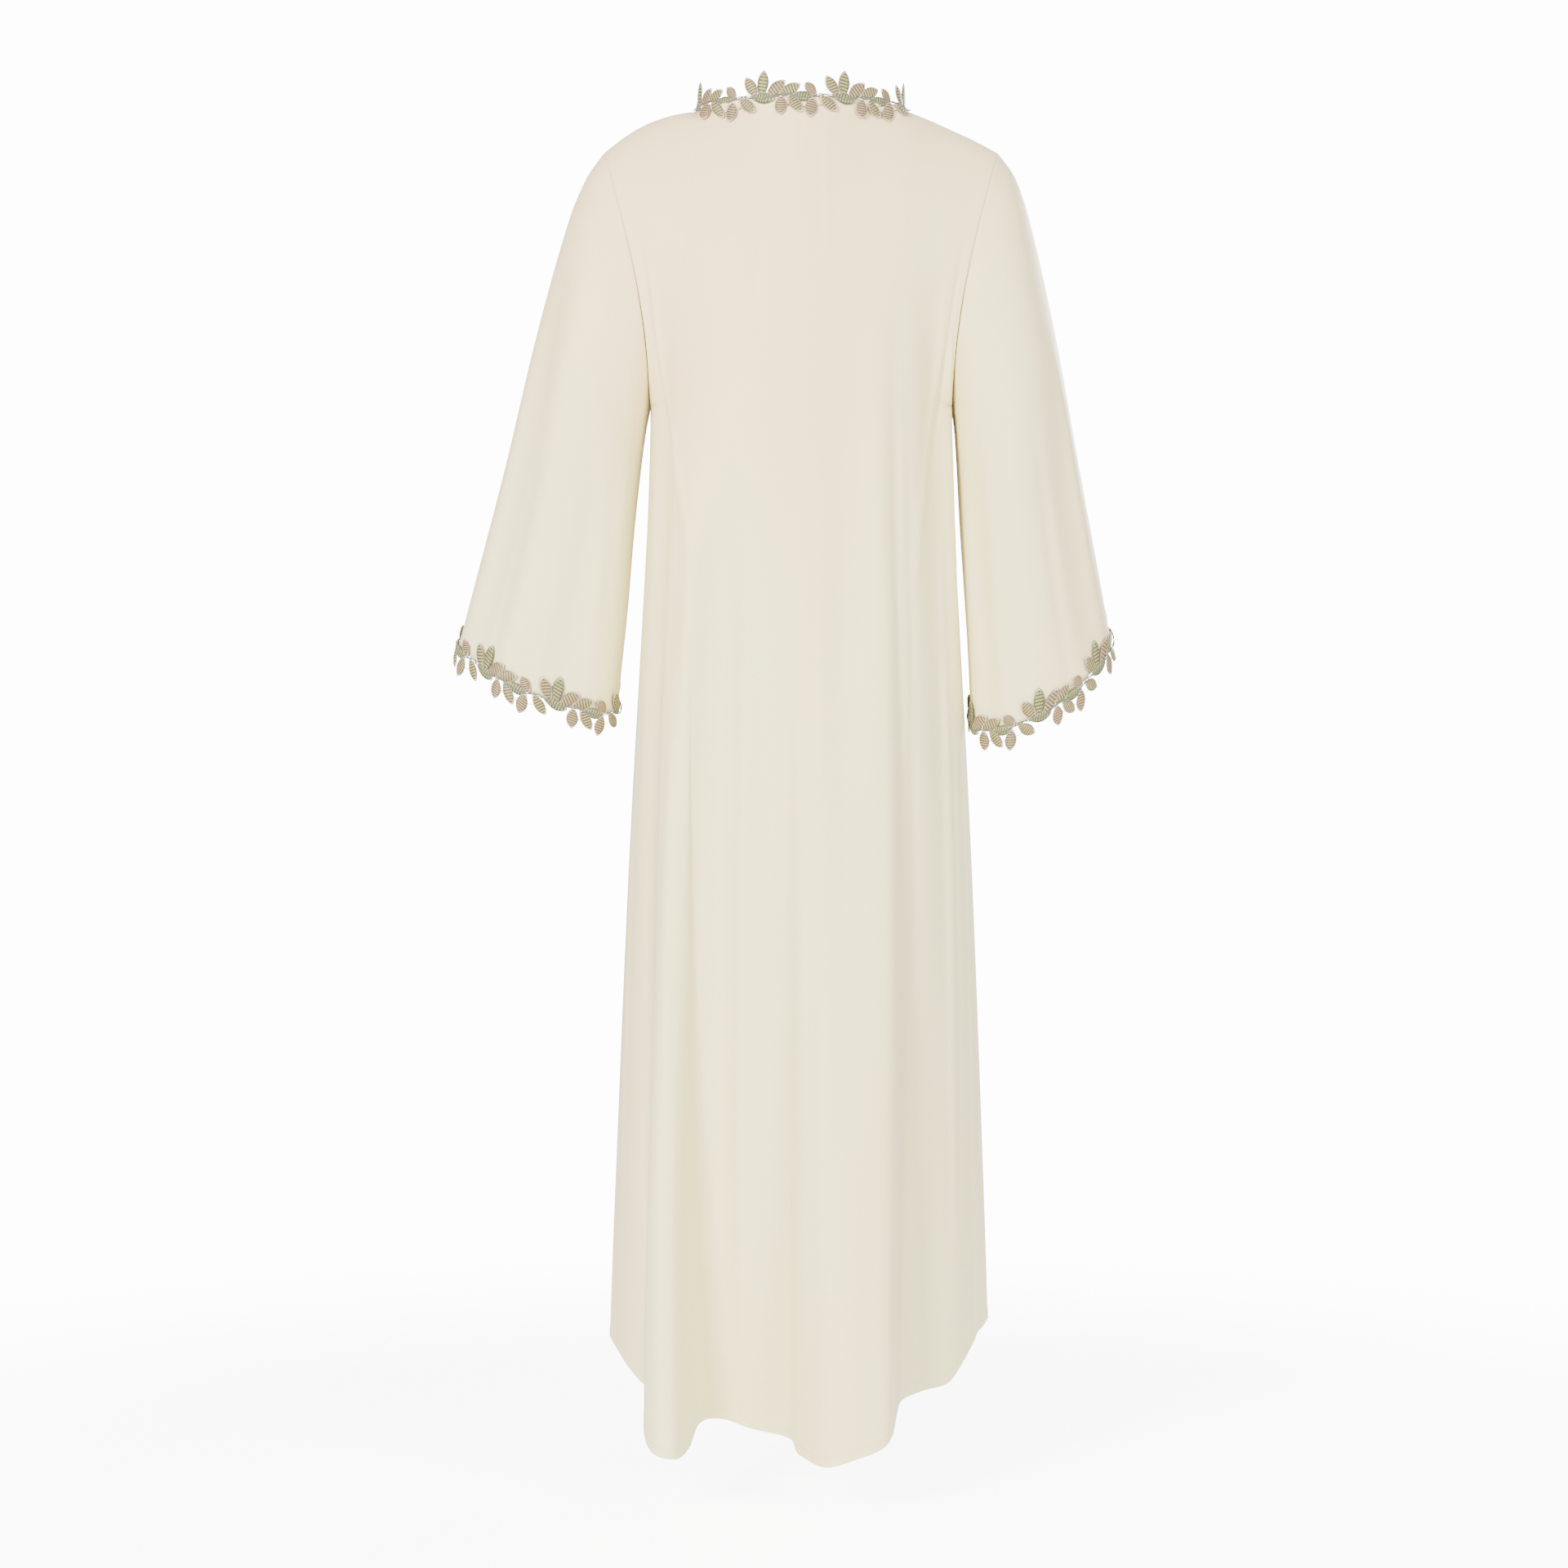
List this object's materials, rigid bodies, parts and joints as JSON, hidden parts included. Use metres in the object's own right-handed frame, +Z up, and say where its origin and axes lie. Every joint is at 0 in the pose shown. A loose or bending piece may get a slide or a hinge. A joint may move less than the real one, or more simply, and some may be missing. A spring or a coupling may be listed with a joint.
{
  "type": "maxi dress",
  "caption": "An ivory kaftan-style maxi dress in its worn, hollow form, with wide bell sleeves and leaf-vine lace round the neck and both cuffs.",
  "frame": {"origin": "Midway between the two points where the shoulder seams meet the neckline, where the wearer holds the dress up.", "axes": "+Z up, -Y the way the wearer faces, +X the wearer's left."},
  "size_m": [0.7054, 0.3979, 1.4275],
  "materials": {
    "cloth": "ivory satin-backed crepe with a soft sheen",
    "lace": "embroidery thread in sage, rose, gold and ivory, slightly glossy"
  },
  "bodies": {
    "root": {"back_panel": "cloth", "front_panel": "cloth", "sleeve_left": "cloth", "sleeve_right": "cloth", "neck_lace_back": "lace", "neck_lace_front": "lace", "cuff_lace_left_back": "lace", "cuff_lace_left_front": "lace", "cuff_lace_right_back": "lace", "cuff_lace_right_front": "lace"}
  },
  "joints": []
}
